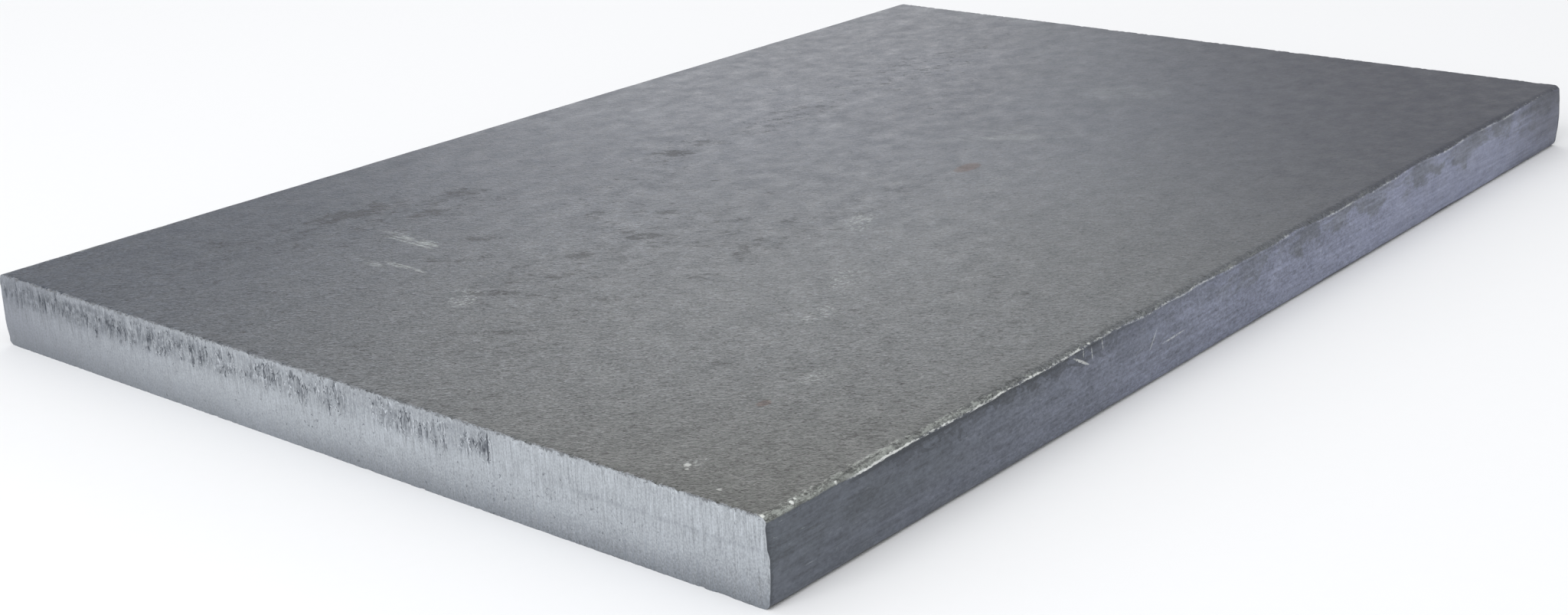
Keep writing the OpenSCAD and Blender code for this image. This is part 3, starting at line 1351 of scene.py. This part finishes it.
@dataclass(frozen=True)
class SawnEnd:
    """Bright freshly cut metal, with the fine upright lines of the blade.

    Attributes:
        bright: the metal at its lightest, by the near corner, where the painted lamp light is strongest.
        dull_and_shaded: the darker metal towards the highest Y, partly duller metal and partly painted
            falloff of the lamp's light.
        torn: the dark inside of tears and pits, partly the torn metal's own tone and partly painted
            shade in these hollows.
        shade: the foot, smears and the seam line.
        lip: the pale lip beside a tear, a painted highlight on its raised side.
        skin: mill skin dragged over the upper arris.
        metallic: how metallic the metal is.
        stroke_y_mm: where the strongest tear stands.
    """

    bright: Colour = tone(170, 175, 180)
    dull_and_shaded: Colour = tone(124, 128, 136)
    torn: Colour = tone(66, 71, 79)
    shade: Colour = tone(98, 103, 110)
    lip: Colour = tone(214, 219, 226)
    skin: Colour = tone(84, 86, 88)
    metallic: float = 0.50
    stroke_y_mm: float = -41.3

    def metal(self, bench: Bench, place: Signal, marks: BladeMarks) -> Signal:
        """The cut face without its tears.

        Fine upright lines cover the face. It is lightest by the corner where the cut began and darker
        towards the highest Y, a painted falloff of the lamp's light; it is duller in a band under the
        top arris where the blade tore it, and shaded along its foot.

        Args:
            bench: the tree that it is built in.
            place: where, in millimetres.
            marks: the blade's marks.

        Returns:
            The colour.
        """
        _, y, z = bench.parts(place)
        lines, bars, cloud = marks.lines, marks.bars, marks.cloud
        blots = bench.grain(place, (2.0, 3.2, 2.4), 4.0, 0.65, 0.4, 9.0)
        right = y.rise(70.0, -80.0)
        # Painted falloff of the lamp's light: darker towards the highest Y, with a duller band under the
        # top arris by the near side.
        dulling_and_falloff = 0.15 + y.rise(-75.0, -30.0) * 0.11 + y.rise(-30.0, -95.0) * z.rise(13.5, 9.0) * 0.12
        dulling_and_falloff = dulling_and_falloff + (y + (cloud - 0.5) * 70.0).rise(15.0, 140.0) * 0.85
        foot = (z + (bars - 0.5) * -7.0 + (lines - 0.5) * -16.0).rise(6.8, -1.4)
        band = z.rise(7.5, 10.5) * (0.35 + z.rise(14.7, 13.3) * 0.65) * y.rise(-44.0, -38.0)
        smear = (marks.scuffs * 0.4 + (bars - 0.5) * 0.6 + blots * 0.6).rise(0.41, 0.58)
        smear = smear * band * (0.45 + y.rise(10.0, 60.0) * 0.55)
        colour = bench.layered(
            bench.mix(dulling_and_falloff, self.bright, self.dull_and_shaded),
            (foot * (0.56 + right * 0.22), self.shade),
            (smear * 0.72, self.shade),
        )
        gain = 1.15 + right * (0.25 + z.rise(8.5, 4.0) * 0.30)
        fine = ((lines - 0.5) + (marks.grit - 0.5) * 0.75) * gain
        light = 1.0 + fine + (bars - 0.5) * 0.40 + (blots - 0.5) * 0.28 + (cloud - 0.5) * 0.35
        return bench.shaded(colour, light)

    def make(self) -> bpy.types.Material:
        """Builds the finish.

        A faint seam line runs over the metal. The tears show as the thin level curves of an upright
        noise, dark with painted shade in their grooves, each with a pale lip beside it, a painted
        highlight.

        Returns:
            The material.
        """
        bench = Bench("sawn_end")
        place = bench.place_mm()
        x, y, z = bench.parts(place)
        marks = BladeMarks.on(bench, place)
        lines, bars, grit, scuffs = marks.lines, marks.bars, marks.grit, marks.scuffs
        curves = bench.grain(place, (1.0, 0.85, 3.0), 2.0, 0.55, 0.5, 21.0)
        clumps = bench.grain(place, (1.0, 4.2, 3.2), 3.0, 0.6, 0.0, 27.0).rise(0.40, 0.62)
        wander = bench.grain(place, (5, 6, 50), 3.0, 0.6, 0.0, 13.0) - 0.5
        wobble = bench.grain(place, (1.0, 40.0, 1.3), 2.0, 0.6, 0.0, 25.0) - 0.5

        pits = bench.grain(place, (0.9, 0.8, 0.9), 3.0, 0.6, 0.3, 11.0)
        more_pits = y.rise(-80.0, -55.0) * y.rise(35.0, 5.0) * z.rise(9.0, 7.0)
        pits = (pits + more_pits * 0.032).rise(0.665, 0.73)
        seam = 1.0 - abs(z - wander * 1.8 - 9.2 + (grit - 0.5) * 0.8).rise(0.0, 0.7)
        seam = seam * y.rise(-48.0, -66.0) * bars.rise(0.30, 0.62)
        crowd = bench.share("torn_crowd").rise(0.10, 0.75)
        # Tears: dark grooves, partly torn metal and partly painted shade.
        tear = (1.0 - abs(curves - 0.50).rise(0.006, 0.030)) * crowd
        tear = tear * scuffs.rise(0.34, 0.52) * (1.0 - y.rise(45.0, 90.0) * 0.5)
        # Pale lip beside each tear: a painted highlight on its raised side.
        lip = (1.0 - abs(curves - 0.545).rise(0.006, 0.030)) * crowd
        stroke = 1.0 - abs(y - self.stroke_y_mm + wobble * 0.9).rise(0.05, 0.22)
        stroke = stroke * z.rise(8.4, 9.6) * z.rise(14.6, 13.6) * x.rise(0.0, -1.0)
        dark = (bench.share("torn") * 0.75 + tear) * (0.45 + clumps * 0.85)
        dark = (dark + stroke * 0.9).held()
        arris = (z + (scuffs - 0.5) * 2.8 + (lines - 0.5) * 2.0).rise(14.62, 14.90)
        colour = bench.layered(
            self.metal(bench, place, marks),
            (seam * 0.26, self.shade),
            (lip * (0.55 - y.rise(20.0, 75.0) * 0.42), self.lip),
            (dark * 0.95, self.torn),
            (pits * 0.50, self.torn),
            (arris * 0.7, self.skin),
        )
        rough = 0.46 + (lines - 0.5) * 0.25 + dark * 0.2 + (marks.cloud - 0.5) * 0.1
        relief = lines * 0.024 + bars * 0.02 - pits * 0.05 + grit * 0.012 - dark * 0.05 + lip * 0.03
        return bench.finish(colour, rough, self.metallic, relief)


@dataclass(frozen=True)
class StudioPaper:
    """Plain pale floor paper with a faint tooth.

    Attributes:
        paper: its colour.
    """

    paper: Colour = tone(240, 241, 243)

    def make(self) -> bpy.types.Material:
        """Builds the finish.

        Returns:
            The material.
        """
        bench = Bench("studio_paper")
        place = bench.place_mm()
        tooth = bench.grain(place, (3, 3, 3), 2.0)
        colour = bench.shaded(self.paper, 1.0 + (tooth - 0.5) * 0.01)
        return bench.finish(colour, 0.9 + tooth * 0.05, 0.0, tooth * 0.01)


# The plate


@dataclass
class SteelPlate:
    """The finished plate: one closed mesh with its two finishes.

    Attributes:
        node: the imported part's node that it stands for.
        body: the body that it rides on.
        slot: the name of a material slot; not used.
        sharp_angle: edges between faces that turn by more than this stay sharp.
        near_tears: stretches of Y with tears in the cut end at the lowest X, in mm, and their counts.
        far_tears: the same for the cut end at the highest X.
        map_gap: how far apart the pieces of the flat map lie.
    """

    node: str = "plate"
    body: str = "root"
    slot: str = "hot_rolled_steel"
    sharp_angle: float = math.radians(34)
    near_tears: tuple[tuple[float, float, int], ...] = (
        (-41.4, -38.6, 22),
        (-37.5, -34.5, 8),
        (-32.5, -12.8, 70),
        (-6.5, 98.0, 300),
    )
    far_tears: tuple[tuple[float, float, int], ...] = ((-90.0, 30.0, 260), (44.0, 52.0, 18))
    map_gap: float = 4 * MM

    def shape(self) -> tuple[Shell, np.ndarray, dict[str, np.ndarray]]:
        """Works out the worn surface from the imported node's size.

        Returns:
            The shell, the moved points, and the shares that the finishes read.
        """
        low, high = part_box(self.node)
        shell = Shell(high.x - low.x, high.y - low.y, high.z - low.z)
        shell.build()
        near = TornMarks(seed=3, reaches=self.near_tears)
        far = TornMarks(seed=4, reaches=self.far_tears)
        moved, shares = Wear(shell, near, far).apply()
        return shell, moved, shares

    def unfold(self, shell: Shell, mesh: bpy.types.Mesh, regions: np.ndarray) -> None:
        """Lays the faces out flat on a map of the plate's own, at one scale, with no overlap.

        The top and the bottom lie above each other, and the four rim strips stand beside them.

        Args:
            shell: the ideal surface, whose places give the map.
            mesh: the plate's mesh.
            regions: each face's region.
        """
        counts = np.zeros(len(mesh.polygons), np.int32)
        mesh.polygons.foreach_get("loop_total", counts)
        corners = np.zeros(len(mesh.loops), np.int32)
        mesh.loops.foreach_get("vertex_index", corners)
        region = np.repeat(regions, counts)
        x, y, _ = (shell.points[corners] + (shell.length / 2, shell.width / 2, 0.0)).T
        run = shell.profile_run[corners]
        gap = self.map_gap
        strip = float(shell.profile_run.max()) + gap
        beside = shell.length + gap
        places = {
            Region.TOP: (x, y),
            Region.BOTTOM: (x, y + shell.width + gap),
            Region.NEAR_SIDE: (beside + run, x),
            Region.FAR_SIDE: (beside + strip + run, x),
            Region.NEAR_END: (beside + 2 * strip + run, y),
            Region.FAR_END: (beside + 3 * strip + run, y),
        }
        spread = np.zeros((len(corners), 2))
        for face, (u, v) in places.items():
            on_face = region == face.value
            spread[on_face] = np.column_stack([u, v])[on_face]
        spread = (spread + gap / 2) / (2 * shell.width + 2 * gap)
        layer = mesh.uv_layers.new(name="OFBake")
        layer.uv.foreach_set("vector", spread.astype(np.float32).ravel())

    def build(self) -> bpy.types.Object:
        """Makes the mesh, dresses it, and puts it in the frame.

        Returns:
            The plate's object.
        """
        shell, moved, shares = self.shape()
        mesh = bpy.data.meshes.new("steel_plate")
        mesh.from_pydata(moved.tolist(), [], shell.quads.tolist() + shell.triangles.tolist())
        regions = np.concatenate([shell.quad_regions, shell.triangle_regions])
        cut = np.isin(regions, (Region.NEAR_END.value, Region.FAR_END.value))
        mesh.polygons.foreach_set("material_index", cut.astype(np.int32))
        mesh.polygons.foreach_set("use_smooth", np.ones(len(cut), bool))
        self.unfold(shell, mesh, regions)
        for name, share in shares.items():
            layer = mesh.attributes.new(name, "FLOAT", "POINT")
            layer.data.foreach_set("value", share.astype(np.float32))
        mesh.update()
        mesh.set_sharp_from_angle(angle=self.sharp_angle)
        plate = stand("steel_plate", mesh)
        mesh.materials.append(MillSkin().make())
        mesh.materials.append(SawnEnd().make())
        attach(plate, self.body)
        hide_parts(self.node)
        triangles = 2 * len(shell.quads) + len(shell.triangles)
        log.info("steel_plate: %d points, %d triangles", len(moved), triangles)
        return plate


# The studio


@dataclass(frozen=True)
class SoftBox:
    """One large soft lamp that points at the plate.

    Attributes:
        name: the lamp's name.
        place: where it stands.
        size: its width and height.
        watts: its power.
        colour: its light.
    """

    name: str
    place: Triple
    size: tuple[float, float]
    watts: float
    colour: Triple = (1.0, 1.0, 1.0)

    def build(self) -> bpy.types.Object:
        """Makes the lamp, turned towards the plate's middle.

        Returns:
            The lamp's object.
        """
        data = bpy.data.lights.new(self.name, "AREA")
        data.shape = "RECTANGLE"
        data.size, data.size_y = self.size
        data.energy = self.watts
        data.color = self.colour
        lamp = stand(self.name, data)
        lamp.location = self.place
        lamp.rotation_euler = (-lamp.location).to_track_quat("-Z", "Y").to_euler()
        return lamp


@dataclass
class Studio:
    """The pale floor, the soft light and the camera.

    Attributes:
        floor_half: half the side of the square floor.
        floor_points: points along that side.
        camera_place: where the camera stands.
        camera_turn: how it is turned about X, Y and Z, in degrees.
        lens_mm: its lens.
        sensor_mm: the width of its sensor.
        nearest: how close to the camera a thing may be and still show.
        world_light: strength of the even light from all round.
        lamps: the soft lamps.
    """

    floor_half: float = 6.0
    floor_points: int = 9
    camera_place: Triple = (-0.3623, -0.2840, 0.1460)
    camera_turn: Triple = (70.534, 2.119, -50.516)
    lens_mm: float = 49.73
    sensor_mm: float = 36.0
    nearest: float = 0.01
    world_light: float = 0.85
    lamps: tuple[SoftBox, ...] = (
        SoftBox("key_lamp", (-1.45, -0.10, 0.85), (1.1, 1.1), 15.0),
        SoftBox("back_lamp", (1.15, 1.04, 0.40), (0.6, 0.45), 2.4),
    )

    def build_floor(self) -> None:
        """Makes a wide flat square of floor paper under the plate."""
        edge = np.linspace(-self.floor_half, self.floor_half, self.floor_points)
        across, along = np.meshgrid(edge, edge)
        points = np.column_stack([across.ravel(), along.ravel(), np.zeros(across.size)])
        index = np.arange(across.size).reshape(across.shape)
        mesh = bpy.data.meshes.new("studio_floor")
        mesh.from_pydata(points.tolist(), [], grid_quads(index).tolist())
        mesh.materials.append(StudioPaper().make())
        floor = stand("studio_floor", mesh)

    def build_light(self) -> None:
        """Sets the even room light and the soft lamps."""
        world = bpy.data.worlds.new("studio_room")
        world.use_nodes = True
        background = world.node_tree.nodes["Background"]
        background.inputs["Color"].default_value = (1.0, 1.0, 1.0, 1.0)
        background.inputs["Strength"].default_value = self.world_light
        bpy.context.scene.world = world
        for lamp in self.lamps:
            lamp.build()

    def build_camera(self) -> None:
        """Sets the camera, unshifted and sharp all through."""
        data = bpy.data.cameras.new("studio_camera")
        data.lens = self.lens_mm
        data.sensor_width = self.sensor_mm
        data.clip_start = self.nearest
        data.dof.use_dof = False
        camera = stand("studio_camera", data)
        camera.location = self.camera_place
        camera.rotation_euler = tuple(math.radians(turn) for turn in self.camera_turn)
        bpy.context.scene.camera = camera

    def build(self) -> None:
        """Makes the whole studio."""
        bpy.context.scene.view_settings.view_transform = "Standard"
        self.build_camera()
        self.build_floor()
        self.build_light()
        log.info("studio: floor, lamps and camera")


def main() -> None:
    """Builds the studio and the plate."""
    logging.basicConfig(level=logging.INFO, format="%(name)s: %(message)s")
    Studio().build()
    SteelPlate().build()


if __name__ == "__main__":
    main()
